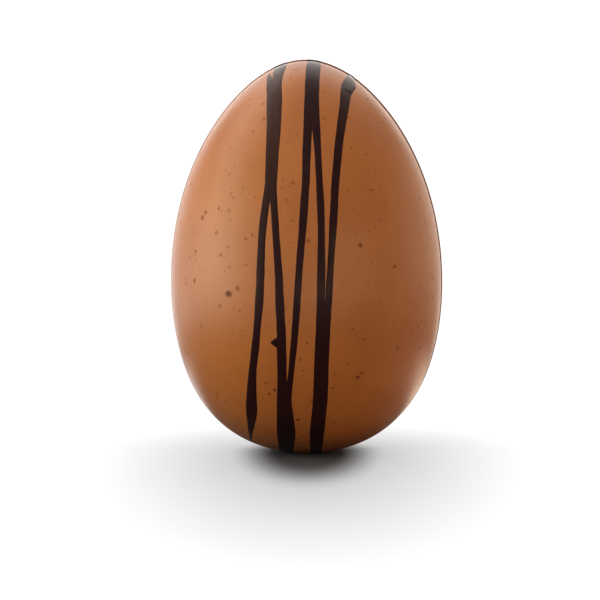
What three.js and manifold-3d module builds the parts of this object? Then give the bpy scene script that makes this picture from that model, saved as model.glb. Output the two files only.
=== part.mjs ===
// A moulded chocolate egg, standing upright on a small flat foot. It is two half shells joined on an
// upright seam, the back one a little proud of the front one, and each half carries drizzled strands
// of dark chocolate that stand slightly out of its face. Closed, so it is solid all through.
// Millimetres, +Z up. The seam lies in the XZ plane, and the front half faces -Y.

import * as THREE from 'three';
import { mergeVertices } from 'three/addons/utils/BufferGeometryUtils.js';
import Module from 'manifold-3d';

// The egg's outline. Its radius at u, which runs from -1 at the blunt pole to 1 at the pointed one,
// is GIRTH * sqrt(1 - u^2) * (1 + SWELL[0] u + SWELL[1] u^2 + SWELL[2] u^3).
const EGG_LENGTH = 150;
const GIRTH = 51.28;
const SWELL = [-0.111, 0.054, -0.109];
const FOOT_CUT = 0.5; // how much of the blunt pole is flattened into the foot

// The seam, and how the back half is set against the front one.
const SEAM_GAP = 0.3;
const BACK_PROUD = 0.3; // how far the back half's face stands outside the front half's
const BACK_SIDESTEP = 0.15;
const BACK_LIFT = 0.2;

// The drizzle.
const STRAND_RELIEF = 0.3; // how far a strand stands out of its half
const STRAND_STEPS = 2; // steps from each point of a strand to the next

// How finely the round surfaces are divided.
const RINGS = 42;
const SECTORS = 60;

// Each strand is laid down the egg through [height, sideways, half width], from the top to its end.
const FRONT_STRANDS = {
  outerLeft: [
    [145, -13.6, 0.3], [143.8, -13.7, 0.75], [141.5, -13.3, 1.35], [136, -12.8, 1.65],
    [120, -13.2, 1.55], [104.5, -13.9, 1.5], [95.5, -15.3, 1.45], [84, -16.5, 1.46],
    [66, -17.3, 1.55], [48.5, -18.7, 1.38], [33, -20.4, 1.5], [21, -20.8, 2.1],
    [14.2, -21.2, 1.5], [10.9, -21.4, 0.95], [7.5, -21.5, 0.42], [3.4, -21.6, 0.08],
  ],
  innerLeft: [
    [149, -9.3, 2.6], [146, -9.8, 2.35], [142, -10.6, 1.85], [133, -10.3, 1.6],
    [119, -11.2, 1.45], [103, -12.15, 1.4], [90, -11.45, 1.33], [75, -10.5, 1.42],
    [62, -9.95, 1.6], [48.5, -9.45, 1.75], [33, -9.3, 1.75], [18, -9.55, 1.85], [10, -9.5, 1.95],
    [3, -9.1, 1.8], [-3, -8.8, 1.6],
  ],
  middleLeft: [
    [151, 2.7, 1.75], [141, 1.55, 1.65], [131, 1.15, 1.75], [125, 0.85, 1.67], [114, 0.28, 1.55],
    [104.5, -0.12, 1.5], [90, -1.22, 1.45], [75, -2.55, 1.37], [57.7, -3.8, 1.36],
    [42.7, -5.08, 1.24], [33, -6.1, 1.1], [24, -7.3, 1.45], [17.5, -7.05, 2.0], [11, -6.7, 2.25],
    [3, -7.05, 1.85], [-3, -7.3, 1.6],
  ],
  middleRight: [
    [151, 4.5, 1.8], [141, 3.7, 1.6], [135, 3.6, 1.6], [129, 3.8, 1.6], [124, 4.1, 1.53],
    [114, 4.65, 1.32], [98, 5.35, 1.35], [84, 5.63, 1.4], [66.5, 5.35, 1.5], [50, 4.8, 1.5],
    [36, 4.2, 1.6], [21, 3.7, 1.75], [11, 2.8, 1.85], [3, 2.95, 1.65], [-3, 3.1, 1.5],
  ],
  outerRight: [
    [147, 17.9, 0.9], [144, 17.6, 1.15], [143.1, 17.25, 1.4], [142.2, 16.95, 1.8],
    [141.5, 16.8, 2.1], [140.7, 16.75, 2.4], [139.6, 16.0, 2.3], [138.3, 15.45, 2.1],
    [136, 15.0, 1.95], [131, 14.3, 1.63],
    [119, 12.4, 1.52], [104.5, 10.94, 1.5], [90, 10.04, 1.44], [75, 8.98, 1.2], [62, 8.1, 1.35],
    [45, 7.0, 1.4], [30, 6.35, 1.55], [14.6, 5.3, 1.55], [4, 4.2, 1.5], [-3, 3.8, 1.4],
  ],
  spur: [
    [48.3, -10.9, 0.1], [47.3, -11.5, 0.5], [46.5, -12.1, 0.9], [46.1, -12.3, 1.3],
    [45.7, -12.1, 0.9], [44.9, -11.5, 0.5], [43.9, -10.9, 0.1],
  ],
};

const BACK_STRANDS = {
  outerLeft: [
    [144.6, -14.1, 0.3], [143.4, -14.2, 0.8], [141.2, -13.9, 1.35], [138, -14, 1.5],
    [126, -15.2, 1.6], [110, -17.2, 1.5],
    [92, -18.6, 1.45], [74, -19.6, 1.55], [58, -21, 1.5], [46, -21.8, 1.75], [38, -22.1, 1.55],
    [31, -22.25, 1.15], [24, -22.3, 0.75], [18, -22.3, 0.4], [13.5, -22.25, 0.1],
  ],
  innerLeft: [
    [149, -9.5, 2.75], [146, -10, 2.5], [142, -11.1, 2.2], [130, -11.9, 1.6], [112, -11.3, 1.45], [94, -9.6, 1.4],
    [76, -8.3, 1.5], [58, -7.6, 1.6], [40, -7.9, 1.7], [24, -8.6, 1.8], [10, -8.9, 1.8], [-3, -9.2, 1.6],
  ],
  middleLeft: [
    [151, 2.1, 1.6], [140, 1.5, 1.6], [124, 0.6, 1.5], [106, -0.9, 1.45], [88, -2.5, 1.4],
    [70, -4.2, 1.4], [52, -5.4, 1.45], [36, -5.9, 1.6], [20, -6.4, 1.7], [8, -6.8, 1.7], [-3, -7.1, 1.6],
  ],
  middleRight: [
    [151, 4.5, 1.6], [140, 4.1, 1.6], [124, 4.2, 1.5], [106, 5.3, 1.4], [88, 6.4, 1.4],
    [70, 6.9, 1.45], [52, 6.2, 1.5], [36, 5.2, 1.55], [20, 3.9, 1.6], [8, 3.1, 1.6], [-3, 2.9, 1.5],
  ],
  outerRight: [
    [147, 17.7, 1.2], [140, 16.7, 1.8], [130, 15.5, 1.7], [112, 14.8, 1.5], [94, 13.6, 1.5],
    [76, 12, 1.45], [58, 10.2, 1.5], [40, 8.2, 1.5], [24, 6.3, 1.6], [10, 4.8, 1.6], [-3, 4.3, 1.5],
  ],
};

const wasm = await Module();
wasm.setup();

// A closed geometry as a manifold solid: shared corners merged, and triangles shut at a pole dropped.
function solidOf(geometry) {
  const bare = geometry.clone();
  bare.deleteAttribute('normal');
  bare.deleteAttribute('uv');
  const merged = mergeVertices(bare);
  const corners = merged.index.array;
  const kept = [];
  for (let i = 0; i < corners.length; i += 3) {
    const [a, b, c] = corners.slice(i, i + 3);
    if (a !== b && b !== c && c !== a) kept.push(a, b, c);
  }
  return new wasm.Manifold(new wasm.Mesh({
    numProp: 3,
    vertProperties: new Float32Array(merged.attributes.position.array),
    triVerts: new Uint32Array(kept),
  }));
}

function geometryOf(solid) {
  const mesh = solid.getMesh();
  const geometry = new THREE.BufferGeometry();
  geometry.setAttribute('position', new THREE.BufferAttribute(mesh.vertProperties, 3));
  geometry.setIndex(new THREE.BufferAttribute(mesh.triVerts, 1));
  geometry.computeVertexNormals();
  return geometry;
}

// The outline from the blunt pole to the pointed one, moved outwards by grow. The point before the
// first and the one after the last mirror their neighbours, which keeps the poles' normals upright.
function eggOutline(grow) {
  const pointAt = (i) => {
    const angle = Math.PI * i / RINGS;
    const u = -Math.cos(angle);
    const swell = 1 + SWELL[0] * u + SWELL[1] * u ** 2 + SWELL[2] * u ** 3;
    return new THREE.Vector2(GIRTH * Math.sin(angle) * swell, EGG_LENGTH / 2 * (1 + u) - FOOT_CUT);
  };
  const outline = [];
  for (let i = 0; i <= RINGS; i++) {
    const along = pointAt(i + 1).sub(pointAt(i - 1)).normalize();
    const outwards = new THREE.Vector2(along.y, -along.x);
    outline.push(pointAt(i).addScaledVector(outwards, grow));
  }
  return outline;
}

// The whole egg as one closed round solid, standing upright.
function eggSolid(grow) {
  const lathe = new THREE.LatheGeometry(eggOutline(grow), SECTORS);
  lathe.rotateX(Math.PI / 2);
  return solidOf(lathe);
}

// A strand as an upright prism, from the seam plane out past the egg's face. side is -1 at the front.
// A smooth curve through the strand's points carries its half width as a third coordinate.
function strandPrism(points, side) {
  const route = new THREE.CatmullRomCurve3(points.map(([height, sideways, half]) => (
    new THREE.Vector3(sideways, height, half)
  )));
  const stations = route.getPoints(STRAND_STEPS * (points.length - 1));
  const left = stations.map((at) => new THREE.Vector2(at.x - at.z, at.y));
  const right = stations.map((at) => new THREE.Vector2(at.x + at.z, at.y));
  const outline = new THREE.Shape([...left, ...right.reverse()]);
  const depth = 2 * GIRTH;
  const prism = new THREE.ExtrudeGeometry(outline, { depth, bevelEnabled: false, steps: 1 });
  prism.rotateX(Math.PI / 2); // the outline now stands in XZ, and the prism runs towards -Y
  if (side > 0) prism.translate(0, depth, 0);
  return solidOf(prism);
}

// Everything on one side of the seam gap and above the foot.
function halfSpace(side) {
  const size = 2 * EGG_LENGTH;
  const box = new THREE.BoxGeometry(size, size, size);
  box.translate(0, side * (size + SEAM_GAP) / 2, size / 2);
  return solidOf(box);
}

// One half shell with its strands fused on.
function halfShell(strands, side, proud, sidestep, lift) {
  const body = eggSolid(proud).translate([sidestep, 0, lift]);
  const reach = eggSolid(proud + STRAND_RELIEF).translate([sidestep, 0, lift]);
  const drizzle = Object.values(strands)
    .map((points) => strandPrism(points, side))
    .reduce((joined, prism) => joined.add(prism));
  return body.add(reach.intersect(drizzle)).intersect(halfSpace(side));
}

function shellMesh(name, solid) {
  const caramel = new THREE.MeshStandardMaterial({ color: 0xb0703c, roughness: 0.38, metalness: 0 });
  const mesh = new THREE.Mesh(geometryOf(solid), caramel);
  mesh.name = name;
  return mesh;
}

const egg = new THREE.Group();
egg.add(shellMesh('shell_front', halfShell(FRONT_STRANDS, -1, 0, 0, 0)));
egg.add(shellMesh('shell_back', halfShell(BACK_STRANDS, 1, BACK_PROUD, BACK_SIDESTEP, BACK_LIFT)));

// The origin is under the middle of the whole egg, at the level of its foot.
const bounds = new THREE.Box3().setFromObject(egg);
const middle = bounds.getCenter(new THREE.Vector3());
egg.position.set(-middle.x, -middle.y, -bounds.min.z);

export default egg;
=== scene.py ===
"""A moulded chocolate egg on its small flat foot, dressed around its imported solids.

The half shells, the drizzled strands, the specks and the seam are grown by Geometry Nodes from one
outline formula. Lengths are in metres, +Z is up, the front half faces -Y and the seam lies in XZ.
"""

import math

import bmesh
import bpy
from mathutils import Matrix, Vector


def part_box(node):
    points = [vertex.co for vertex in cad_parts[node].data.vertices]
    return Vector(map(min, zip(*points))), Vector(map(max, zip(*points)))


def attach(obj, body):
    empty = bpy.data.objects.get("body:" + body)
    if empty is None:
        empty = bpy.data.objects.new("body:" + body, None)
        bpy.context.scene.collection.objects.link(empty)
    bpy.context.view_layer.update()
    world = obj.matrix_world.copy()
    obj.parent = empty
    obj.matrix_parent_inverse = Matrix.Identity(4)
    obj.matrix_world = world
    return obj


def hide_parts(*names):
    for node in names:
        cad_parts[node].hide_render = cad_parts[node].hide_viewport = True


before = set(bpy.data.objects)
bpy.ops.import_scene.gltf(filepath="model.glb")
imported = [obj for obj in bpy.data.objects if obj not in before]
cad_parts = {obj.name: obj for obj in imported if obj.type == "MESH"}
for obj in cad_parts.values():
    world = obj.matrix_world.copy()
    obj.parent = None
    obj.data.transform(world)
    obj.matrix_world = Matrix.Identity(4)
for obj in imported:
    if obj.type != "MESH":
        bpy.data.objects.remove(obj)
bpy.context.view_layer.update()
MM = 0.001

# The egg's outline, as in the solids: at u, which runs from -1 at the blunt pole to 1 at the pointed
# one, the radius is GIRTH * sqrt(1 - u^2) * (1 + SWELL[0] u + SWELL[1] u^2 + SWELL[2] u^3).
EGG_LENGTH = 150 * MM
GIRTH = 51.28 * MM
SWELL = (-0.111, 0.054, -0.109)
FOOT_CUT = 0.5 * MM
FOOT_ROUNDING = 0.15 * MM

# The seam. The back half stands a little proud of the front one and is set to one side of it.
SEAM_GAP = 0.3 * MM
BACK_PROUD = 0.3 * MM
BACK_LIFT = 0.2 * MM
LIP_ROUNDING = 0.35 * MM  # how far each half's rim is rounded over
SEAM_LINE_RADIUS = 0.4 * MM
SEAM_LINE_DEPTH = 0.55 * MM  # how far its middle lies below the front half's face

FRONT_LOW, FRONT_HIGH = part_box("shell_front")
BACK_LOW, BACK_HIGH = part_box("shell_back")
SEAM_Y = (FRONT_HIGH.y + BACK_LOW.y) / 2
FRONT_X = (FRONT_LOW.x + FRONT_HIGH.x) / 2
BACK_X = (BACK_LOW.x + BACK_HIGH.x) / 2

# How finely the shells are divided, and the slow waves in their faces. A name that ends in NOISE
# holds a number of waves to the metre, here and further on.
SHELL_RINGS = 220
SHELL_SECTORS = 240
LIP_CROWDING = 0.9  # how much closer the sectors stand at the rims, from 0 to 1
SHELL_UNEVENNESS = 0.07 * MM
SHELL_NOISE = 45.0
WELD = 1e-7  # points closer than this become one

# The drizzle: each strand runs down through (height, sideways, half width), in millimetres. The fold
# is where a strand has doubled over itself and stands higher.
STRAND_RELIEF = 0.12 * MM
FOLD_RELIEF = 0.3 * MM
STRAND_SINK = 0.15 * MM
STRAND_STEP = 0.9 * MM
STRAND_SIDES = 28
SEAM_CUTS = 5  # by which a step is divided again where a strand turns over a rim
NEAR_SEAM = 1.5 * MM  # where the steps are divided again
SEAM_CLEARANCE = 0.01 * MM  # how far the strands stay off the seam's plane
FULL_HALF_WIDTH = 1.4 * MM  # a strand narrower than this is lower as well
HEART_HEIGHT = 65 * MM  # the height of the line in the egg from which strands go straight out
STRAND_WANDER = 0.14  # how far a strand's width strays from its own, as a share
WANDER_NOISE = 150.0
STRAND_SWAY = 0.15 * MM
SWAY_NOISE = 110.0
FRONT_STRANDS = {
    "outer_left": [
        (145, -13.6, 0.3), (143.8, -13.7, 0.75), (141.5, -13.3, 1.35), (136, -12.8, 1.65),
        (120, -13.2, 1.55), (104.5, -13.9, 1.5), (95.5, -15.3, 1.45), (84, -16.5, 1.46),
        (66, -17.3, 1.55), (48.5, -18.7, 1.38), (33, -20.4, 1.5), (21, -20.8, 2.1),
        (14.2, -21.2, 1.5), (10.9, -21.4, 0.95), (7.5, -21.5, 0.42), (3.4, -21.6, 0.08),
    ],
    "inner_left": [
        (149, -9.3, 2.6), (146, -9.8, 2.35), (142, -10.6, 1.85), (133, -10.3, 1.6),
        (119, -11.2, 1.45), (103, -12.15, 1.4), (90, -11.45, 1.33), (75, -10.5, 1.42),
        (62, -9.95, 1.6), (48.5, -9.45, 1.75), (33, -9.3, 1.75), (18, -9.55, 1.85), (10, -9.5, 1.95),
        (3, -9.1, 1.8), (-3, -8.8, 1.6),
    ],
    "middle_left": [
        (151, 2.7, 1.75), (141, 1.55, 1.65), (131, 1.15, 1.75), (125, 0.85, 1.67), (114, 0.28, 1.55),
        (104.5, -0.12, 1.5), (90, -1.22, 1.45), (75, -2.55, 1.37), (57.7, -3.8, 1.36),
        (42.7, -5.08, 1.24), (33, -6.1, 1.1), (24, -7.3, 1.45), (17.5, -7.05, 2.0), (11, -6.7, 2.25),
        (3, -7.05, 1.85), (-3, -7.3, 1.6),
    ],
    "middle_right": [
        (151, 4.5, 1.8), (141, 3.7, 1.6), (135, 3.6, 1.6), (129, 3.8, 1.6), (124, 4.1, 1.53),
        (114, 4.65, 1.32), (98, 5.35, 1.35), (84, 5.63, 1.4), (66.5, 5.35, 1.5), (50, 4.8, 1.5),
        (36, 4.2, 1.6), (21, 3.7, 1.75), (11, 2.8, 1.85), (3, 2.95, 1.65), (-3, 3.1, 1.5),
    ],
    "outer_right": [
        (147, 17.9, 0.9), (144.2, 17.7, 1.1), (143, 17.45, 1.5), (142.2, 17.3, 1.95),
        (141.4, 17.1, 2.25), (140.5, 16.6, 2.3), (139.6, 16.0, 2.25), (138.3, 15.45, 2.1),
        (136, 15.0, 1.95), (131, 14.3, 1.63), (119, 12.4, 1.52), (104.5, 10.94, 1.5),
        (90, 10.04, 1.44), (75, 8.98, 1.2), (62, 8.1, 1.35), (45, 7.0, 1.4), (30, 6.35, 1.55),
        (14.6, 5.3, 1.55), (4, 4.2, 1.5), (-3, 3.8, 1.4),
    ],
    "spur": [
        (46.1, -13.5, 0.15), (46.1, -13.0, 0.7), (46.1, -12.6, 0.95), (46.1, -11.9, 1.3),
        (46.05, -11.4, 1.85), (46, -10.5, 2.4),
    ],
}
FRONT_FOLD = {
    "fold": [
        (147, 17.9, 0.85), (144.2, 17.7, 1.05), (143, 17.5, 1.4), (142.2, 17.35, 1.8),
        (141.4, 17.15, 2.1), (140.6, 16.85, 2.05), (139.9, 16.55, 1.85), (139.2, 16.3, 1.6),
        (138.4, 16.0, 1.45),
    ],
}
BACK_STRANDS = {
    "outer_left": [
        (144.6, -14.1, 0.3), (143.4, -14.2, 0.8), (141.2, -13.9, 1.35), (138, -14, 1.5),
        (126, -15.2, 1.6), (110, -17.2, 1.5), (92, -18.6, 1.45), (74, -19.6, 1.55), (58, -21, 1.5),
        (46, -21.8, 1.75), (38, -22.1, 1.55), (31, -22.25, 1.15), (24, -22.3, 0.75),
        (18, -22.3, 0.4), (13.5, -22.25, 0.1),
    ],
    "inner_left": [
        (149, -9.5, 2.75), (146, -10, 2.5), (142, -11.1, 2.2), (130, -11.9, 1.6),
        (112, -11.3, 1.45), (94, -9.6, 1.4), (76, -8.3, 1.5), (58, -7.6, 1.6), (40, -7.9, 1.7),
        (24, -8.6, 1.8), (10, -8.9, 1.8), (-3, -9.2, 1.6),
    ],
    "middle_left": [
        (151, 2.1, 1.6), (140, 1.5, 1.6), (124, 0.6, 1.5), (106, -0.9, 1.45), (88, -2.5, 1.4),
        (70, -4.2, 1.4), (52, -5.4, 1.45), (36, -5.9, 1.6), (20, -6.4, 1.7), (8, -6.8, 1.7),
        (-3, -7.1, 1.6),
    ],
    "middle_right": [
        (151, 4.5, 1.6), (140, 4.1, 1.6), (124, 4.2, 1.5), (106, 5.3, 1.4), (88, 6.4, 1.4),
        (70, 6.9, 1.45), (52, 6.2, 1.5), (36, 5.2, 1.55), (20, 3.9, 1.6), (8, 3.1, 1.6),
        (-3, 2.9, 1.5),
    ],
    "outer_right": [
        (147, 17.7, 1.2), (140, 16.7, 1.8), (130, 15.5, 1.7), (112, 14.8, 1.5), (94, 13.6, 1.5),
        (76, 12, 1.45), (58, 10.2, 1.5), (40, 8.2, 1.5), (24, 6.3, 1.6), (10, 4.8, 1.6),
        (-3, 4.3, 1.5),
    ],
}

# Specks in the chocolate: (height, sideways, half width, half height) in millimetres, and how dark
# each one is, from 0 to 1. Besides these, fainter ones are scattered over each half.
SPECK_THICKNESS = 0.035 * MM
SPECK_SINK = 0.012 * MM
SPECK_SPREAD = 1.85  # how far the soft edge of a speck reaches past its half size
SPECK_SIDES = 10
SPECK_RINGS = 6
SPECK_SHIFT = 0.5 * MM  # twice the most that a point of a speck's outline shifts along each axis
SPECK_NOISE = 1600.0
FULL_SPECK = 0.6 * MM  # a speck narrower than this shifts less
SPECKS_PER_AREA = 14000  # scattered ones, to the square metre
SCATTERED_LEAST = 0.22  # half size in millimetres
SCATTERED_MORE = 0.5  # how much larger the few largest are
SCATTERED_STRETCH = (0.8, 1.3)
SCATTERED_DARKNESS = (0.2, 0.55)
SPECK_SEED = 11
FRONT_SPECKS = [
    (64, -29, 1.2, 1.0, 1.0), (91.6, -38.8, 0.9, 0.75, 0.65), (93.6, -37.6, 0.7, 0.6, 0.65),
    (68, -42, 0.8, 0.75, 0.6), (86.5, -33.5, 0.7, 0.55, 0.5), (86, -20, 0.4, 0.65, 0.6),
    (84.5, -22.5, 0.5, 0.45, 0.55), (97, -24.5, 0.4, 0.4, 0.25), (101, -28, 0.45, 0.5, 0.35),
    (109.5, -30, 0.35, 0.85, 0.3), (95.4, -32.5, 0.4, 0.75, 0.6), (79, -41.5, 0.65, 0.5, 0.65),
    (76.5, -44, 0.6, 0.45, 0.3), (77.5, -30.5, 0.35, 0.3, 0.3), (75, -23, 0.45, 0.4, 0.4),
    (68.5, -45.5, 0.55, 0.5, 0.3), (59, -27, 0.3, 0.45, 0.35), (51, -35, 0.45, 0.35, 0.35),
    (103.5, -9, 0.4, 0.45, 0.35), (104, -6.5, 0.3, 0.35, 0.4), (91.5, -5, 0.6, 0.35, 0.45),
    (57.5, -15, 0.4, 0.3, 0.4), (33.5, -29, 0.65, 0.4, 0.4),
    (39, -45, 0.9, 0.5, 0.4), (36.5, -16.5, 0.35, 0.3, 0.4), (30.5, -15, 0.35, 0.3, 0.4),
    (28, -12, 0.65, 0.55, 1.0), (26.5, -14, 0.6, 0.5, 0.8), (24.5, -33.5, 0.55, 0.4, 0.4),
    (48.5, -24, 0.5, 0.4, 0.3), (135.5, -21, 0.55, 0.4, 0.35), (117.5, -28.5, 0.45, 0.35, 0.3),
    (82, 20, 0.75, 0.75, 0.8), (102, 24.5, 1.0, 0.35, 0.6), (109, 26, 0.35, 0.3, 0.3),
    (102, 16, 0.3, 0.6, 0.45), (73.5, 33, 0.65, 0.5, 0.75), (68, 23, 0.35, 0.55, 0.4),
    (96.5, 30, 0.5, 0.6, 0.3), (92.5, 30, 0.35, 0.3, 0.3), (86, 18.5, 0.4, 0.4, 0.35),
    (90, 20.5, 0.3, 0.35, 0.3), (87, 23.5, 0.5, 0.45, 0.3), (88.5, 45, 0.6, 0.45, 0.35),
    (68.5, 47.5, 0.5, 0.5, 0.25), (126.5, 29, 0.8, 0.35, 0.35), (51, 17, 0.5, 0.35, 0.5),
    (47, 21, 0.45, 0.45, 0.5), (47.5, 19.5, 0.35, 0.3, 0.4), (42.5, 34, 0.6, 0.7, 0.5),
    (50, 42, 0.55, 0.6, 0.4), (38, 15.5, 0.35, 0.45, 0.45), (32.5, 19, 0.7, 0.6, 1.0),
    (34, 20.5, 0.5, 0.45, 0.9), (29, 10, 0.3, 0.3, 0.3), (15.1, 10, 0.5, 0.45, 0.65),
    (59.5, 31.5, 0.4, 0.3, 0.3), (18, 20, 0.4, 0.35, 0.35), (16.2, -3.5, 0.8, 0.45, 1.0),
    (46, 0, 0.35, 0.45, 0.8), (41.5, 43, 0.6, 0.55, 0.35),
    (94.6, -31.5, 0.3, 0.4, 0.5), (94.7, -28.8, 0.75, 0.7, 0.3), (91.3, -28.3, 0.55, 0.6, 0.25),
    (99.4, -27.2, 0.45, 0.55, 0.35), (99.8, -18.9, 0.4, 0.4, 0.35), (103.3, -23.4, 0.7, 0.65, 0.25),
    (81.3, -29.1, 0.55, 0.6, 0.35), (73.9, -28.6, 0.5, 0.5, 0.35), (74.9, -22, 0.35, 0.35, 0.4),
    (85.9, -42.2, 0.6, 0.55, 0.3), (91.3, -43.7, 0.45, 0.5, 0.35), (75.8, -41.5, 0.4, 0.45, 0.35),
    (73.5, -45.3, 0.5, 0.6, 0.3), (28.6, 9.6, 0.7, 0.4, 0.5), (30.6, -15.7, 0.45, 0.4, 0.6),
    (24.4, -16.5, 0.4, 0.4, 0.35), (22.4, -30.6, 0.6, 0.5, 0.4),
]
BACK_SPECKS = [
    (58, -33, 1.0, 1.0, 0.9), (88, 25, 0.8, 0.7, 0.7), (104, -24, 0.7, 0.6, 0.5),
    (35, 30, 0.7, 0.6, 0.9), (37, 28.5, 0.5, 0.45, 0.7), (72, 38, 0.65, 0.5, 0.5),
    (47, -40, 0.6, 0.7, 0.5), (121, 25, 0.6, 0.4, 0.4), (96, -38, 0.7, 0.55, 0.5),
    (28, -26, 0.5, 0.5, 0.6), (66, 22, 0.35, 0.6, 0.45), (80, -26, 0.4, 0.5, 0.4),
]

# The line of chocolate in the seam, whose dark brown is painted shade for the groove.
SEAM_STEPS = 720
SEAM_SIDES = 12
SEAM_NOISE = 300.0

# The colours of the chocolate, each between a deeper and a paler one.
CARAMEL_DEEP = (0.543, 0.162, 0.0265, 1)
CARAMEL_PALE = (0.6, 0.184, 0.0315, 1)
FLECK_BROWN = (0.19, 0.048, 0.016, 1)
# Painted shade: the back half's rim is painted this darker brown where it stands proud of the front
# one.
RIM_SHADE_BROWN = (0.15, 0.05, 0.018, 1)
DARK_DEEP = (0.0215, 0.0044, 0.005, 1)
DARK_PALE = (0.0275, 0.006, 0.006, 1)
DARK_LIT_TOP = (0.06, 0.023, 0.015, 1)  # painted light: paler and redder at the tops of the left strands
# Painted shade: the seam line's browns stand in for the shade in the groove between the halves.
SEAM_SHADE_DEEP = (0.1, 0.034, 0.013, 1)
SEAM_SHADE_PALE = (0.17, 0.06, 0.022, 1)

# The caramel chocolate's clouds and streaks, its gloss and grain, and the small flecks inside it.
CLOUD_NOISE = 38.0
STREAK_NOISE = 170.0
STREAK_LENGTHENING = (1, 1, 0.12)
GLOSS_NOISE = 220.0
GRAIN_NOISE = 420.0
GRAIN_DEPTH = 0.1 * MM
FLECKS_PER_METRE = 330.0
FLECK_LEAST = 0.24  # reach in millimetres
FLECK_MORE = 0.6  # how much further the few largest reach

# The dark chocolate's clouds and gloss, and where it is painted paler as painted light: left of the
# one place and above the other, each with a soft edge.
DARK_CLOUD_NOISE = 160.0
DARK_GLOSS_NOISE = 300.0
LIT_TOP_SIDEWAYS = (-9 * MM, -5 * MM)
LIT_TOP_HEIGHTS = (95 * MM, 130 * MM)
SEAM_CLOUD_NOISE = 260.0

# The camera, set by distances from the front half's axis and the seam, and by angles in degrees. Its
# lens and its sensor are in millimetres.
CAMERA_LENS = 240
CAMERA_SENSOR = 36
CAMERA_SIDEWAYS = -2.43 * MM
CAMERA_DISTANCE = 1527 * MM
CAMERA_HEIGHT = 178.3 * MM
CAMERA_DIP = 4.5
CAMERA_ROLL = -0.337

# The soft lights: name, place, height aimed at, width and height, power in watts, and tint.
EGG_AIM = 70 * MM
FOOT_AIM = 30 * MM
SOFT_LIGHTS = (
    ("left_softbox", (-0.67, -0.09, 0.19), EGG_AIM, (0.55, 0.5), 0.8, (0.96, 1, 0.85)),
    ("left_front_softbox", (-0.59, -0.28, 0.27), EGG_AIM, (0.75, 0.6), 0.96, (1, 0.94, 0.5)),
    ("left_high_softbox", (-0.491, 0.05, 0.565), EGG_AIM, (0.45, 0.45), 0.49, (0.92, 1, 0.98)),
    ("right_window", (0.40, -0.57, 0.08), EGG_AIM, (0.4, 0.4), 0.39, (1, 0.75, 0.5)),
    ("right_softbox", (0.61, 0.25, 0.14), EGG_AIM, (0.6, 0.4), 0.3, (1, 0.8, 0.5)),
    ("back_softbox", (0.0, 0.52, 0.54), EGG_AIM, (0.8, 0.8), 1.55, (1, 0.95, 0.9)),
    ("front_high_softbox", (-0.12, -0.5, 0.5), EGG_AIM, (0.4, 0.4), 0.06, (1, 1, 0.8)),
    ("front_low_softbox", (0.06, -0.62, 0.035), FOOT_AIM, (0.4, 0.06), 0.11, (1, 0.8, 0.5)),
)

# The surroundings: the eye sees them white, and they light the egg in tints of their own.
WHITE = (1, 1, 1, 1)
AIR_LEFT = (1, 0.97, 0.95, 1)
AIR_RIGHT = (1, 0.82, 0.66, 1)
FLOOR_RIGHT = (1, 0.78, 0.58, 1)
FLOOR_FRONT = (1, 0.55, 0.22, 1)
FLOOR_BOUNCE = (0.085, 0.09, 0.11, 1)
FLOOR_RADIUS = 1.2

# The soft shadow at the foot is painted into the floor's glow, and reaches further forwards than
# backwards: the shares by which distances that way count in it.
PAINTED_SHADOW_FORWARDS = 0.25
PAINTED_SHADOW_BACKWARDS = 0.8


class Field:
    """A node's output that formulas are written with: each operator adds one Math node."""

    def __init__(self, graph, socket):
        self.graph = graph
        self.socket = socket

    def __add__(self, other):
        return self.graph.math("ADD", self, other)

    def __sub__(self, other):
        return self.graph.math("SUBTRACT", self, other)

    def __rsub__(self, other):
        return self.graph.math("SUBTRACT", other, self)

    def __mul__(self, other):
        return self.graph.math("MULTIPLY", self, other)

    def __truediv__(self, other):
        return self.graph.math("DIVIDE", self, other)

    def __pow__(self, other):
        return self.graph.math("POWER", self, other)

    def __neg__(self):
        return self.graph.math("MULTIPLY", self, -1)

    __radd__ = __add__
    __rmul__ = __mul__


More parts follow.
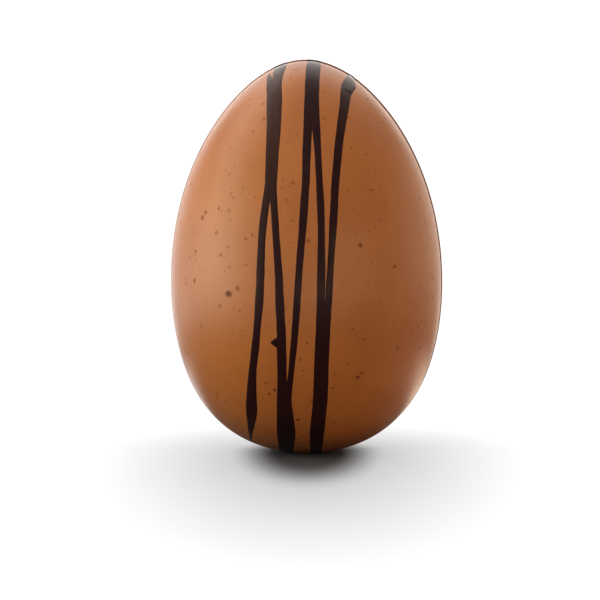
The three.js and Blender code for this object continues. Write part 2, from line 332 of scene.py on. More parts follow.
class Graph:
    """A node tree under construction. A node's inputs take plain values or fields."""

    def __init__(self, tree):
        self.tree = tree

    def add(self, kind, inputs=None, **settings):
        node = self.tree.nodes.new(kind)
        for name, value in settings.items():
            setattr(node, name, value)
        for name, value in (inputs or {}).items():
            self.feed(find_socket(node.inputs, name), value)
        return node

    def feed(self, socket, value):
        if isinstance(value, Field):
            self.tree.links.new(value.socket, socket)
        else:
            socket.default_value = value

    def field(self, kind, inputs=None, output=None, **settings):
        """A node's output: the first one, unless output names another."""
        node = self.add(kind, inputs, **settings)
        return Field(self, find_socket(node.outputs, output) if output else node.outputs[0])

    def math(self, operation, *values):
        node = self.add("ShaderNodeMath", operation=operation)
        for socket, value in zip(node.inputs, values):
            self.feed(socket, value)
        return Field(self, node.outputs[0])

    def vectors(self, operation, *values):
        node = self.add("ShaderNodeVectorMath", operation=operation)
        for socket, value in zip(node.inputs, values):
            self.feed(socket, value)
        return Field(self, next(socket for socket in node.outputs if socket.enabled))

    def scaled(self, vector, amount):
        inputs = {"Vector": vector, "Scale": amount}
        return self.field("ShaderNodeVectorMath", inputs, operation="SCALE")

    def vector(self, x, y, z):
        return self.field("ShaderNodeCombineXYZ", {"X": x, "Y": y, "Z": z})

    def parts(self, vector):
        node = self.add("ShaderNodeSeparateXYZ", {"Vector": vector})
        return [Field(self, socket) for socket in node.outputs]

    def noise(self, position, scale, detail=2.0, output="Fac"):
        inputs = {"Vector": position, "Scale": scale, "Detail": detail}
        return self.field("ShaderNodeTexNoise", inputs, output)

    def mixed(self, share, first, second):
        """The first colour turning to the second as share goes from 0 to 1."""
        inputs = {"Factor_Float": share, "A_Color": first, "B_Color": second}
        return self.field("ShaderNodeMix", inputs, "Result_Color", data_type="RGBA")

    def kept(self, name):
        """A value that the mesh keeps under a name, or 0 where it keeps none."""
        return self.field("ShaderNodeAttribute", output="Fac", attribute_name=name)

    def ramp(self, value, low, high, to_low=0.0, to_high=1.0, kind="SMOOTHSTEP"):
        """Value taken from low to high onto to_low to to_high, and held beyond them."""
        inputs = {
            "Value": value, "From Min": low, "From Max": high, "To Min": to_low, "To Max": to_high,
        }
        return self.field("ShaderNodeMapRange", inputs, interpolation_type=kind)


class Growth(Graph):
    """A Geometry Nodes tree with named inputs and outputs."""

    def __init__(self, name):
        super().__init__(bpy.data.node_groups.new(name, "GeometryNodeTree"))
        self.inlet = self.tree.nodes.new("NodeGroupInput")
        self.outlet = self.tree.nodes.new("NodeGroupOutput")

    def take(self, name, default=None, kind="Float"):
        item = self.tree.interface.new_socket(name, in_out="INPUT", socket_type="NodeSocket" + kind)
        if default is not None:
            item.default_value = default
        return Field(self, self.inlet.outputs[name])

    def give(self, name, value, kind="Float"):
        self.tree.interface.new_socket(name, in_out="OUTPUT", socket_type="NodeSocket" + kind)
        self.feed(self.outlet.inputs[name], value)

    def chance(self, low, high, seed):
        """A random number for each point."""
        inputs = {"Min": low, "Max": high, "Seed": seed}
        return self.field("FunctionNodeRandomValue", inputs, "Value", data_type="FLOAT")

    def stored(self, geometry, name, value, kind="FLOAT"):
        """The geometry with a value kept on its points under a name."""
        return self.field("GeometryNodeStoreNamedAttribute", {
            "Geometry": geometry, "Name": name, "Value": value,
        }, data_type=kind, domain="POINT")

    def named(self, name, kind="FLOAT"):
        """A value that the points keep under a name."""
        return self.field("GeometryNodeInputNamedAttribute", {
            "Name": name,
        }, "Attribute", data_type=kind)

    def finish(self, geometry, material):
        """The tree's end: what it made, smooth and in its material, as plain geometry."""
        real = self.field("GeometryNodeRealizeInstances", {"Geometry": geometry})
        smooth = self.field("GeometryNodeSetShadeSmooth", {"Geometry": real})
        done = self.field("GeometryNodeSetMaterial", {"Geometry": smooth, "Material": material})
        self.give("Geometry", done, "Geometry")
        return self.tree


def find_socket(sockets, name):
    """A node's socket, by its place, its identifier or its name."""
    if isinstance(name, int):
        return sockets[name]
    return next(s for s in sockets if name in (s.identifier, s.name) and s.enabled)


def placed(name, data):
    """A new object in the scene."""
    made = bpy.data.objects.new(name, data)
    bpy.context.scene.collection.objects.link(made)
    return made


def grown(tree, name, inputs):
    """What a tree makes from its named inputs, as a plain mesh with its faces pointing outwards."""
    holder = placed(name + "_growing", bpy.data.meshes.new(name + "_growing"))
    modifier = holder.modifiers.new("growth", "NODES")
    modifier.node_group = tree
    for item in tree.interface.items_tree:
        if item.in_out == "INPUT" and item.name in inputs:
            modifier[item.identifier] = inputs[item.name]
    evaluated = holder.evaluated_get(bpy.context.evaluated_depsgraph_get())
    mesh = bpy.data.meshes.new_from_object(evaluated)
    mesh.name = name
    bpy.data.objects.remove(holder)
    shape = bmesh.new()
    shape.from_mesh(mesh)
    bmesh.ops.recalc_face_normals(shape, faces=shape.faces)
    shape.to_mesh(mesh)
    shape.free()
    return placed(name, mesh)


# ---------------------------------------------------------------------------- growing the egg


def outline_tree():
    """The egg's outline at an angle from the blunt pole: where it is and which way it faces."""
    grow = Growth("egg outline")
    angle = grow.take("Angle")
    length = grow.take("Length", EGG_LENGTH)
    girth = grow.take("Girth", GIRTH)
    swell = [grow.take(f"Swell {power}", value) for power, value in enumerate(SWELL, 1)]
    cut = grow.take("Foot cut", FOOT_CUT)
    u = -grow.math("COSINE", angle)
    across = grow.math("SINE", angle)
    fullness = 1 + swell[0] * u + swell[1] * u * u + swell[2] * u * u * u
    fullness_slope = swell[0] + 2 * swell[1] * u + 3 * swell[2] * u * u
    grow.give("Radius", girth * across * fullness)
    grow.give("Height", length / 2 * (1 + u) - cut)
    radius_slope = girth * (across * across * fullness_slope - u * fullness)
    height_slope = length / 2 * across
    steepness = grow.math("SQRT", radius_slope * radius_slope + height_slope * height_slope)
    grow.give("Outwards", height_slope / steepness)
    grow.give("Upwards", -radius_slope / steepness)
    return grow.tree


def outline_at(grow, angle, outline):
    """The outline's four outputs, as fields of the tree that uses it."""
    node = grow.add("GeometryNodeGroup", node_tree=outline)
    grow.feed(node.inputs["Angle"], angle)
    return [Field(grow, node.outputs[name]) for name in ("Radius", "Height", "Outwards", "Upwards")]


def half_shell_tree(outline):
    """Half an egg, closed by a flat face at the seam: side is -1 for the front and 1 for the back."""
    grow = Growth("half shell")
    side = grow.take("Side", -1.0)
    middle = grow.take("Middle", kind="Vector")
    proud = grow.take("Proud", 0.0)
    lip = grow.take("Lip rounding", LIP_ROUNDING)
    crowding = grow.take("Lip crowding", LIP_CROWDING)
    unevenness = grow.take("Unevenness", SHELL_UNEVENNESS)
    rings = grow.take("Rings", SHELL_RINGS, "Int")
    sectors = grow.take("Sectors", SHELL_SECTORS, "Int")
    rim = grow.take("Painted rim shade", 0.0)
    material = grow.take("Material", kind="Material")

    # A flat sheet: its rows become the rings, and its last column closes the round at the seam.
    sheet = grow.field("GeometryNodeMeshGrid", {
        "Size X": 1.0, "Size Y": 1.0, "Vertices X": rings + 1, "Vertices Y": sectors + 2,
    })
    row, column, _ = grow.parts(grow.field("GeometryNodeInputPosition"))
    share = (column + 0.5) * (sectors + 1) / sectors
    crowded = share - crowding * grow.math("SINE", share * math.tau) / math.tau
    turn = math.pi * crowded * grow.math("LESS_THAN", share, 1 + 0.5 / SHELL_SECTORS)
    radius, height, outwards, upwards = outline_at(grow, (row + 0.5) * math.pi, outline)

    # The rim is rounded over, and the face is a little uneven.
    cos_turn = grow.math("COSINE", turn)
    sin_turn = grow.math("SINE", turn)
    past_lip = grow.math("MINIMUM", radius * sin_turn / lip, 1.0)
    inset = lip * (1 - grow.math("SQRT", 1 - (1 - past_lip) * (1 - past_lip)))
    # Painted shade: the rim is marked, most at the lip, for the material to paint it darker.
    sheet = grow.stored(sheet, "rim", rim * (1 - past_lip))
    place = grow.vector(radius * cos_turn, radius * sin_turn * side, height)
    wave = unevenness * (grow.noise(place, SHELL_NOISE, 1.0) - 0.5) * 2 * past_lip
    lift = proud - inset + wave
    normal = grow.vector(outwards * cos_turn, outwards * sin_turn * side, upwards)
    moved = grow.vectors("ADD", place, grow.scaled(normal, lift))
    x, y, z = grow.parts(grow.vectors("ADD", moved, middle))
    standing = grow.math("SMOOTH_MAX", z, 0.0, FOOT_ROUNDING)
    shaped = grow.field("GeometryNodeSetPosition", {
        "Geometry": sheet, "Position": grow.vector(x, y, standing),
    })
    closed = grow.field("GeometryNodeMergeByDistance", {"Geometry": shaped, "Distance": WELD})
    return grow.finish(closed, material)


def strands_tree():
    """Strands laid along their routes on a half shell: low crowned ribbons that follow its face."""
    grow = Growth("drizzled strands")
    routes = grow.take("Routes", kind="Object")
    shell = grow.take("Shell", kind="Object")
    side = grow.take("Side", -1.0)
    seam = grow.take("Seam", 0.0)
    heart = grow.take("Heart", HEART_HEIGHT)
    relief = grow.take("Relief", STRAND_RELIEF)
    sink = grow.take("Sink", STRAND_SINK)
    step = grow.take("Step", STRAND_STEP)
    wander = grow.take("Wander", STRAND_WANDER)
    sway = grow.take("Sway", STRAND_SWAY)
    material = grow.take("Material", kind="Material")

    position = grow.field("GeometryNodeInputPosition")
    curves = grow.field("GeometryNodeObjectInfo", {"Object": routes}, "Geometry")
    smooth = grow.field("GeometryNodeCurveSplineType", {"Curve": curves}, spline_type="CATMULL_ROM")
    even = grow.field("GeometryNodeResampleCurve", {"Curve": smooth, "Length": step}, mode="LENGTH")
    from_seam = side * (grow.parts(position)[1] - seam)
    at_seam = grow.math("LESS_THAN", from_seam, NEAR_SEAM)
    even = grow.field("GeometryNodeSubdivideCurve", {"Curve": even, "Cuts": at_seam * SEAM_CUTS})
    straying = 1 + wander * 2 * (grow.noise(position, WANDER_NOISE) - 0.5)
    even = grow.stored(even, "half_width", grow.field("GeometryNodeInputRadius") * straying)
    upside_down = grow.vectors("MULTIPLY", position, (1, 1, -1))
    swaying = sway * 2 * (grow.noise(upside_down, SWAY_NOISE) - 0.5)
    even = grow.field("GeometryNodeSetPosition", {
        "Geometry": even, "Offset": grow.vector(swaying, 0.0, 0.0),
    })
    _, along_y, along_z = grow.parts(position)
    facing = grow.field("GeometryNodeSetCurveNormal", {
        "Curve": even, "Normal": grow.vector(0.0, along_y - seam, along_z - heart),
    }, mode="FREE")

    # The profile is a circle pressed flat: its own height is kept aside until the ribbon is wrapped.
    ring = grow.field("GeometryNodeCurvePrimitiveCircle", {
        "Resolution": STRAND_SIDES, "Radius": 1.0,
    })
    ring_x, ring_y, _ = grow.parts(position)
    ring = grow.stored(ring, "rise", ring_x)
    ring = grow.field("GeometryNodeSetPosition", {
        "Geometry": ring, "Position": grow.vector(0.0, ring_y, 0.0),
    })
    ribbon = grow.field("GeometryNodeCurveToMesh", {
        "Curve": facing, "Profile Curve": ring, "Scale": grow.named("half_width"), "Fill Caps": True,
    })

    # Each point goes straight out from the egg's heart line to the shell's face, then to its height.
    x, y, z = grow.parts(position)
    reach = side * grow.math("MAXIMUM", side * (y - seam), SEAM_CLEARANCE)
    target = grow.field("GeometryNodeObjectInfo", {"Object": shell}, "Geometry")
    hit = grow.add("GeometryNodeRaycast", {
        "Target Geometry": target,
        "Source Position": grow.vector(x, seam, heart),
        "Ray Direction": grow.vector(0.0, reach, z - heart),
        "Ray Length": 1.0,
    }, data_type="FLOAT_VECTOR", mapping="INTERPOLATED")
    grow.feed(find_socket(hit.inputs, "Attribute"), grow.field("GeometryNodeInputNormal"))
    rise = grow.named("rise")
    fullness = grow.math("MINIMUM", grow.named("half_width") / FULL_HALF_WIDTH, 1.0)
    crown = relief * fullness * grow.math("MAXIMUM", rise, 0.0) ** 0.5
    under = sink * grow.math("MINIMUM", rise, 0.0)
    wrapped = grow.vectors(
        "ADD", Field(grow, find_socket(hit.outputs, "Hit Position")),
        grow.scaled(Field(grow, find_socket(hit.outputs, "Attribute")), crown + under),
    )
    wrapped_x, wrapped_y, wrapped_z = grow.parts(wrapped)
    laid = grow.field("GeometryNodeSetPosition", {
        "Geometry": ribbon,
        "Position": grow.vector(wrapped_x, wrapped_y, grow.math("MAXIMUM", wrapped_z, 0.0)),
    })
    return grow.finish(laid, material)


def specks_tree():
    """Specks: thin round flecks pressed into the face, some where they are marked, some scattered."""
    grow = Growth("specks")
    marks = grow.take("Marks", kind="Object")
    shell = grow.take("Shell", kind="Object")
    side = grow.take("Side", -1.0)
    seam = grow.take("Seam", 0.0)
    density = grow.take("Density", SPECKS_PER_AREA)
    seed = grow.take("Seed", SPECK_SEED, "Int")
    thickness = grow.take("Thickness", SPECK_THICKNESS)
    sink = grow.take("Sink", SPECK_SINK)
    spread = grow.take("Spread", SPECK_SPREAD)
    material = grow.take("Material", kind="Material")
    face = grow.field("GeometryNodeObjectInfo", {"Object": shell}, "Geometry")
    position = grow.field("GeometryNodeInputPosition")

    # Where they are, how large and how dark.
    marked = grow.field("GeometryNodeObjectInfo", {"Object": marks}, "Geometry")
    marked = grow.field("GeometryNodeMeshToPoints", {"Mesh": marked})
    off_rim = grow.ramp(side * (grow.parts(position)[1] - seam), 1.0 * MM, 2.0 * MM)
    strewn = grow.field("GeometryNodeDistributePointsOnFaces", {
        "Mesh": face, "Density": density * off_rim, "Seed": seed,
    })
    chance = grow.chance(0.0, 1.0, seed + 1)
    size = (SCATTERED_LEAST + SCATTERED_MORE * chance ** 3) * MM
    wider = grow.chance(*SCATTERED_STRETCH, seed + 2)
    taller = grow.chance(*SCATTERED_STRETCH, seed + 3)
    strewn = grow.stored(strewn, "half_width", size * wider)
    strewn = grow.stored(strewn, "half_height", size * taller)
    strewn = grow.stored(strewn, "darkness", grow.chance(*SCATTERED_DARKNESS, seed + 4))
    join = grow.add("GeometryNodeJoinGeometry")
    grow.feed(join.inputs[0], strewn)
    grow.feed(join.inputs[0], marked)
    spots = Field(grow, join.outputs[0])

    # A speck lies flat on the face with its height upright.
    outwards = grow.field("GeometryNodeSampleNearestSurface", {
        "Mesh": face, "Sample Position": position, "Value": grow.field("GeometryNodeInputNormal"),
    }, data_type="FLOAT_VECTOR")
    spots = grow.stored(spots, "outwards", outwards, "FLOAT_VECTOR")
    outwards = grow.named("outwards", "FLOAT_VECTOR")
    turned = grow.field("FunctionNodeAlignRotationToVector", {"Vector": outwards}, axis="Z")
    turned = grow.field("FunctionNodeAlignRotationToVector", {
        "Rotation": turned, "Vector": (0, 0, 1),
    }, axis="Y", pivot_axis="Z")
    fleck = grow.field("GeometryNodeMeshUVSphere", {
        "Segments": SPECK_SIDES, "Rings": SPECK_RINGS, "Radius": 1.0,
    })
    fleck = grow.stored(fleck, "fade", grow.parts(position)[2])
    width = grow.named("half_width") * spread
    tallness = grow.named("half_height") * spread
    specks = grow.field("GeometryNodeInstanceOnPoints", {
        "Points": spots, "Instance": fleck, "Rotation": turned,
        "Scale": grow.vector(width, tallness, thickness),
    })
    specks = grow.field("GeometryNodeRealizeInstances", {"Geometry": specks})

    # Their outlines are uneven: each point shifts a little along the face.
    stray = grow.noise(position, SPECK_NOISE, 1.0, "Color")
    shift = grow.scaled(grow.vectors("SUBTRACT", stray, (0.5, 0.5, 0.5)), SPECK_SHIFT)
    off_face = grow.field("ShaderNodeVectorMath", {
        0: shift, 1: outwards,
    }, "Value", operation="DOT_PRODUCT")
    along = grow.vectors("SUBTRACT", shift, grow.scaled(outwards, off_face))
    slim = grow.math("MINIMUM", grow.named("half_width") / FULL_SPECK, 1.0)
    specks = grow.field("GeometryNodeSetPosition", {
        "Geometry": specks, "Offset": grow.scaled(along, slim),
    })

    # Each follows the curve of the face, its edge a little below it.
    below = grow.field("GeometryNodeSampleNearestSurface", {
        "Mesh": face, "Sample Position": position, "Value": position,
    }, data_type="FLOAT_VECTOR")
    height = grow.named("fade") * thickness - sink
    specks = grow.field("GeometryNodeSetPosition", {
        "Geometry": specks, "Position": grow.vectors("ADD", below, grow.scaled(outwards, height)),
    })
    return grow.finish(specks, material)


def seam_line_tree(outline):
    """The thin line of chocolate in the groove between the halves, all the way round, dark brown as
    painted shade.
    """
    grow = Growth("seam line")
    middle = grow.take("Middle", kind="Vector")
    radius_in = grow.take("Line radius", SEAM_LINE_RADIUS)
    depth = grow.take("Depth", SEAM_LINE_DEPTH)
    steps = grow.take("Steps", SEAM_STEPS, "Int")
    material = grow.take("Material", kind="Material")
    loop = grow.field("GeometryNodeCurvePrimitiveCircle", {"Resolution": steps, "Radius": 1.0})
    angle = grow.field("GeometryNodeInputIndex") * math.tau / steps
    radius, height, outwards, upwards = outline_at(grow, angle, outline)
    place = grow.vector(radius - outwards * depth, 0.0, height - upwards * depth)
    x, y, z = grow.parts(grow.vectors("ADD", place, middle))
    standing = grow.math("SMOOTH_MAX", z, radius_in, FOOT_ROUNDING)
    loop = grow.field("GeometryNodeSetPosition", {
        "Geometry": loop, "Position": grow.vector(x, y, standing),
    })
    swelling = 0.85 + 0.3 * grow.noise(grow.field("GeometryNodeInputPosition"), SEAM_NOISE)
    profile = grow.field("GeometryNodeCurvePrimitiveCircle", {
        "Resolution": SEAM_SIDES, "Radius": radius_in,
    })
    line = grow.field("GeometryNodeCurveToMesh", {
        "Curve": loop, "Profile Curve": profile, "Scale": swelling,
    })
    return grow.finish(line, material)


# ---------------------------------------------------------------------------- routes


def egg_radius(height):
    """The outline's radius at a height above the foot."""
    u = (height + FOOT_CUT) / (EGG_LENGTH / 2) - 1
    if abs(u) >= 1:
        return 0.0
    return GIRTH * math.sqrt(1 - u * u) * (1 + SWELL[0] * u + SWELL[1] * u ** 2 + SWELL[2] * u ** 3)


def on_face(height, sideways, side):
    """The point of a half's face at a height and a sideways place. Beyond the outline, its edge."""
    step = 0.05 * MM * (1 if height < EGG_LENGTH / 2 else -1)
    depth = 0.0
    if egg_radius(height) > abs(sideways):
        depth = math.sqrt(egg_radius(height) ** 2 - sideways ** 2)
    while egg_radius(height) < abs(sideways):
        height += step
    return Vector((sideways, side * depth, height))


def strand_routes(name, strands, side, middle):
    """The strands' routes as one curve object, with a half width at each point."""
    curve = bpy.data.curves.new(name, "CURVE")
    curve.dimensions = "3D"
    for points in strands.values():
        spline = curve.splines.new("POLY")
        spline.points.add(len(points) - 1)
        for point, (height, sideways, half_width) in zip(spline.points, points):
            place = on_face(height * MM, sideways * MM, side) + middle
            point.co = (*place, 1.0)
            point.radius = half_width * MM
    return placed(name, curve)


def speck_marks(name, specks, side, middle):
    """A point on the face for each marked speck, with its half sizes and its darkness."""
    mesh = bpy.data.meshes.new(name)
    places = [on_face(height * MM, sideways * MM, side) + middle for height, sideways, *_ in specks]
    mesh.from_pydata(places, [], [])
    for column, attribute, unit in ((2, "half_width", MM), (3, "half_height", MM), (4, "darkness", 1)):
        values = mesh.attributes.new(attribute, "FLOAT", "POINT")
        values.data.foreach_set("value", [speck[column] * unit for speck in specks])
    return placed(name, mesh)


# ---------------------------------------------------------------------------- finishes


def new_material(name):
    material = bpy.data.materials.new(name)
    material.use_nodes = True
    graph = Graph(material.node_tree)
    shader = material.node_tree.nodes["Principled BSDF"]
    return material, graph, shader


def caramel_chocolate():
    """Smooth caramel chocolate: faint clouds and upright streaks, small flecks, a soft gloss, and
    painted shade at the back half's rim.
    """
    material, graph, shader = new_material("caramel_chocolate")
    place = graph.field("ShaderNodeTexCoord", output="Object")
    clouds = graph.noise(place, CLOUD_NOISE, 3.0)
    streaks = graph.noise(graph.vectors("MULTIPLY", place, STREAK_LENGTHENING), STREAK_NOISE)
    shade = graph.ramp(clouds * 0.7 + streaks * 0.3, 0.35, 0.65)
    colour = graph.mixed(shade, CARAMEL_DEEP, CARAMEL_PALE)

    # Small flecks all through it, of which the face cuts some, and the specks that lie on it.
    cells = graph.add("ShaderNodeTexVoronoi", {"Vector": place, "Scale": FLECKS_PER_METRE})
    reach = Field(graph, cells.outputs["Distance"]) / FLECKS_PER_METRE
    chance, _, tint = graph.parts(Field(graph, cells.outputs["Color"]))
    size = (FLECK_LEAST + FLECK_MORE * chance ** 3) * MM
    fleck = graph.ramp(reach / size, 0.1, 1.0, 1.0, 0.0) * (0.12 + 0.3 * tint)
    height = graph.kept("fade")
    fade = graph.ramp(height * height, 0.1, 1.0) * graph.kept("darkness")
    dark = graph.math("MAXIMUM", fleck, fade)
    colour = graph.mixed(dark, colour, FLECK_BROWN)
    # Painted shade: where the mesh marks the back half's rim, it is painted darker brown.
    rim = graph.kept("rim") * 0.8
    colour = graph.mixed(rim, colour, RIM_SHADE_BROWN)
    graph.feed(shader.inputs["Base Color"], colour)

    gloss = graph.ramp(graph.noise(place, GLOSS_NOISE), 0.2, 0.8, 0.38, 0.46)
    graph.feed(shader.inputs["Roughness"], gloss + dark * 0.35)
    shader.inputs["IOR"].default_value = 1.42
    dull = graph.ramp(graph.math("MAXIMUM", dark, rim), 0.0, 0.6)
    graph.feed(shader.inputs["Specular IOR Level"], 0.5 - 0.2 * dull)
    graph.feed(shader.inputs["Coat Weight"], 0.65 - 0.4 * dull)
    shader.inputs["Coat Roughness"].default_value = 0.28
    grain = graph.noise(place, GRAIN_NOISE, 3.0)
    dimples = graph.field("ShaderNodeBump", {
        "Height": grain, "Strength": 0.12, "Distance": GRAIN_DEPTH,
    })
    graph.feed(shader.inputs["Normal"], dimples)
    return material


def dark_chocolate():
    """Glossy dark chocolate, with painted light: paler and browner at the top of the left strands."""
    material, graph, shader = new_material("dark_chocolate")
    place = graph.field("ShaderNodeTexCoord", output="Object")
    cloud = graph.noise(place, DARK_CLOUD_NOISE, 3.0)
    colour = graph.mixed(graph.ramp(cloud, 0.3, 0.7), DARK_DEEP, DARK_PALE)
    across, _, height = graph.parts(place)
    # Painted light: the tops of the left strands are painted paler, standing in for the light that
    # falls on them.
    to_left = graph.ramp(across, *LIT_TOP_SIDEWAYS, 1.0, 0.0)
    to_top = graph.ramp(height, *LIT_TOP_HEIGHTS)
    colour = graph.mixed(to_left * to_top, colour, DARK_LIT_TOP)
    graph.feed(shader.inputs["Base Color"], colour)
    gloss = graph.ramp(graph.noise(place, DARK_GLOSS_NOISE), 0.2, 0.8, 0.4, 0.5)
    graph.feed(shader.inputs["Roughness"], gloss)
    shader.inputs["IOR"].default_value = 1.22
    shader.inputs["Specular Tint"].default_value = (1, 0.6, 0.6, 1)
    shader.inputs["Coat Weight"].default_value = 1.0
    shader.inputs["Coat IOR"].default_value = 1.22
    shader.inputs["Coat Roughness"].default_value = 0.2
    return material


def seam_chocolate():
    """The dull dark brown of the line between the halves: painted shade for the groove."""
    material, graph, shader = new_material("seam_chocolate")
    place = graph.field("ShaderNodeTexCoord", output="Object")
    colour = graph.mixed(graph.noise(place, SEAM_CLOUD_NOISE), SEAM_SHADE_DEEP, SEAM_SHADE_PALE)
    graph.feed(shader.inputs["Base Color"], colour)
    shader.inputs["Roughness"].default_value = 0.7
    return material


# ---------------------------------------------------------------------------- the studio


def make_camera():
    data = bpy.data.cameras.new("camera")
    data.lens = CAMERA_LENS
    data.sensor_width = CAMERA_SENSOR
    data.clip_start = 0.1
    data.clip_end = 50
    camera = placed("camera", data)
    place = (FRONT_X + CAMERA_SIDEWAYS, SEAM_Y - CAMERA_DISTANCE, CAMERA_HEIGHT)
    tilt = Matrix.Rotation(math.radians(90 - CAMERA_DIP), 4, "X")
    roll = Matrix.Rotation(math.radians(CAMERA_ROLL), 4, "Z")
    camera.matrix_world = Matrix.Translation(place) @ tilt @ roll
    bpy.context.scene.camera = camera


def soft_light(name, place, aim, size, power, tint):
    """A soft light that faces a height on the egg's axis."""
    data = bpy.data.lights.new(name, "AREA")
    data.color = tint
    data.shape = "RECTANGLE"
    data.size, data.size_y = size
    data.energy = power
    light = placed(name, data)
    light.location = place
    towards = Vector((0, 0, aim)) - Vector(place)
    light.rotation_euler = towards.to_track_quat("-Z", "Y").to_euler()


def make_world():
    """White for the eye. The air that lights the egg is brightest at the left and behind."""
    world = bpy.data.worlds.new("studio")
    world.use_nodes = True
    bpy.context.scene.world = world
    graph = Graph(world.node_tree)
    background = world.node_tree.nodes["Background"]
    x, y, z = graph.parts(graph.field("ShaderNodeTexCoord", output="Generated"))
    at_left = graph.ramp(x, -1.0, -0.55, 0.95, 0.0)
    at_right = graph.ramp(x, 0.4, 0.85, 0.0, 0.12)
    behind = graph.ramp(y, 0.64, 0.92, 0.0, 0.75)
    low = graph.ramp(z, 0.08, 0.48, 1.0, 0.0) * (0.08 + at_left + behind + at_right)
    overhead = graph.ramp(z, 0.55, 0.85, 0.0, 0.12)
    high_behind = graph.ramp(y, -0.25, 0.5) * graph.ramp(z, 0.3, 0.7)
    high_behind = high_behind * (0.36 + graph.ramp(x, -0.75, -0.1, 0.45, 0.0))
    brightness = 0.3 + low + overhead + high_behind
    seen = graph.field("ShaderNodeLightPath", output="Is Camera Ray")
    tint = graph.mixed(graph.ramp(x, 0.0, 0.4), AIR_LEFT, AIR_RIGHT)
    graph.feed(background.inputs["Color"], graph.mixed(seen, tint, WHITE))
    graph.feed(background.inputs["Strength"], graph.math("MAXIMUM", brightness, seen))


def floor_seen(graph, x, y):
    """How bright the eye sees the floor: near white, with a soft shadow at the foot painted into its
    glow.
    """
    forwards = graph.math("MAXIMUM", -y, 0.0) * PAINTED_SHADOW_FORWARDS
    backwards = graph.math("MAXIMUM", y, 0.0) * PAINTED_SHADOW_BACKWARDS
    from_foot = graph.vectors("LENGTH", graph.vector(x, forwards, backwards))
    core = graph.ramp(from_foot, 12 * MM, 31 * MM, 0.0, 0.51)
    return core + graph.ramp(from_foot, 20 * MM, 90 * MM, 0.0, 0.46, "LINEAR")


def floor_light(graph, x, y, away, far):
    """How bright the floor is for the egg: more at the left, behind, and in a ring round the foot."""
    at_left = graph.ramp(-x / away, 0.5, 0.95, 0.0, 0.75)
    behind = graph.ramp((y + 0.12 * x) / away, 0.15, 0.75, 0.0, 1.25)
    at_right = graph.ramp(x / away, 0.6, 0.9, 0.0, 0.24)
    near = graph.ramp(away, 0.05, 0.09) * (1 - far) * (behind + at_right)
    ring = graph.ramp(away, 0.028, 0.045) * graph.ramp(away, 0.09, 0.18, 1.0, 0.0)
    ring = ring * graph.ramp(x / away, -0.7, 0.1, 0.02, 0.09)
    far_behind = graph.ramp(y / away, 0.7, 0.95, 0.0, 0.8) * far
    return graph.ramp(away, 0.18, 0.4) * (0.38 + at_left) + near + far_behind + ring


def make_floor():
    """A pale round floor. It lights the egg in warm tints from the right and from the front, and the
    eye sees it glowing near white with a painted shadow at the foot.
    """
    bpy.ops.mesh.primitive_circle_add(vertices=96, radius=FLOOR_RADIUS, fill_type="NGON")
    floor = bpy.context.object
    floor.name = "floor"
    material, graph, shader = new_material("pale_floor")
    seen = graph.field("ShaderNodeLightPath", output="Is Camera Ray")
    shader.inputs["Base Color"].default_value = FLOOR_BOUNCE
    shader.inputs["Roughness"].default_value = 0.9
    place = graph.field("ShaderNodeTexCoord", output="Object")
    away = graph.field("ShaderNodeVectorMath", {0: place}, "Value", operation="LENGTH")
    x, y, _ = graph.parts(place)
    far = graph.ramp(away, 0.12, 0.22)
    at_right = (1 - seen) * graph.ramp(x / away, 0.1, 0.5)
    tint = graph.mixed(at_right, WHITE, FLOOR_RIGHT)
    at_front = (1 - seen) * (1 - far) * graph.ramp(y / away, -0.5, -0.1, 1.0, 0.0)
    tint = graph.mixed(at_front, tint, FLOOR_FRONT)
    graph.feed(shader.inputs["Emission Color"], tint)
    brightness = seen * floor_seen(graph, x, y)
    brightness = brightness + (1 - seen) * floor_light(graph, x, y, away, far)
    graph.feed(shader.inputs["Emission Strength"], brightness)
    floor.data.materials.append(material)


def make_studio():
    make_camera()
    make_world()
    make_floor()
    for light in SOFT_LIGHTS:
        soft_light(*light)
    bpy.context.scene.view_settings.view_transform = "Standard"


# ---------------------------------------------------------------------------- the egg


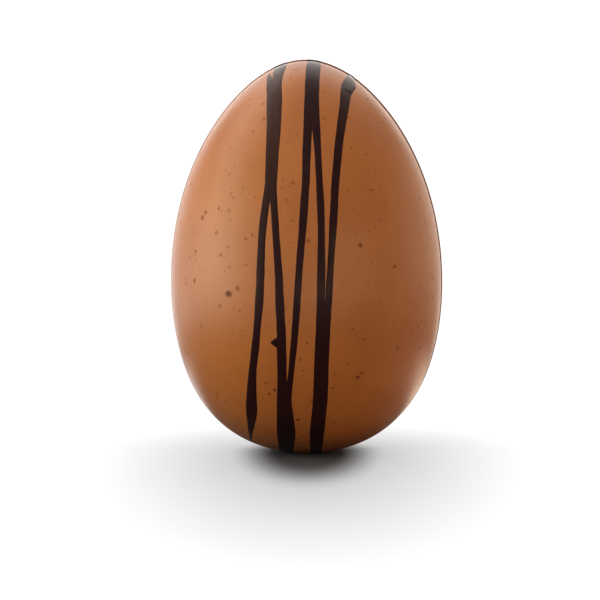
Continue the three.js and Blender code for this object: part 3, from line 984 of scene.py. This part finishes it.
def make_shell(tree, name, side, middle, proud, caramel):
    """A half shell. The back one's rim is painted darker, as painted shade, where it stands proud of
    the front one.
    """
    shell = grown(tree, name + "_half", {
        "Side": float(side), "Middle": middle, "Proud": proud, "Painted rim shade": float(side > 0),
        "Material": caramel,
    })
    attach(shell, "root")
    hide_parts("shell_" + name)
    return shell


def make_drizzle(tree, name, strands, relief, shell, side, middle, dark):
    """Strands of dark chocolate laid on a half shell."""
    routes = strand_routes(name + "_routes", strands, side, middle)
    drizzle = grown(tree, name, {
        "Routes": routes, "Shell": shell, "Side": float(side),
        "Seam": middle.y + side * SEAM_CLEARANCE, "Relief": relief, "Material": dark,
    })
    bpy.data.objects.remove(routes)
    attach(drizzle, "root")


def make_specks(tree, name, marked, shell, side, middle, caramel):
    """The marked and the scattered specks of a half shell."""
    marks = speck_marks(name + "_marks", marked, side, middle)
    flecks = grown(tree, name + "_specks", {
        "Marks": marks, "Shell": shell, "Side": float(side), "Seam": middle.y,
        "Seed": SPECK_SEED + 10 * side, "Material": caramel,
    })
    bpy.data.objects.remove(marks)
    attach(flecks, "root")


def make_seam_line(outline):
    middle = Vector(((FRONT_X + BACK_X) / 2, SEAM_Y, BACK_LIFT / 2))
    seam = grown(seam_line_tree(outline), "seam_line", {
        "Middle": middle, "Material": seam_chocolate(),
    })
    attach(seam, "root")


def make_egg():
    caramel = caramel_chocolate()
    dark = dark_chocolate()
    outline = outline_tree()
    half_shell = half_shell_tree(outline)
    strands = strands_tree()
    specks = specks_tree()
    front = Vector((FRONT_X, SEAM_Y - SEAM_GAP / 2, 0.0))
    shell = make_shell(half_shell, "front", -1, front, 0.0, caramel)
    make_drizzle(strands, "front_drizzle", FRONT_STRANDS, STRAND_RELIEF, shell, -1, front, dark)
    make_drizzle(strands, "front_fold", FRONT_FOLD, FOLD_RELIEF, shell, -1, front, dark)
    make_specks(specks, "front", FRONT_SPECKS, shell, -1, front, caramel)
    back = Vector((BACK_X, SEAM_Y + SEAM_GAP / 2, BACK_LIFT))
    shell = make_shell(half_shell, "back", 1, back, BACK_PROUD, caramel)
    make_drizzle(strands, "back_drizzle", BACK_STRANDS, STRAND_RELIEF, shell, 1, back, dark)
    make_specks(specks, "back", BACK_SPECKS, shell, 1, back, caramel)
    make_seam_line(outline)


make_studio()
make_egg()
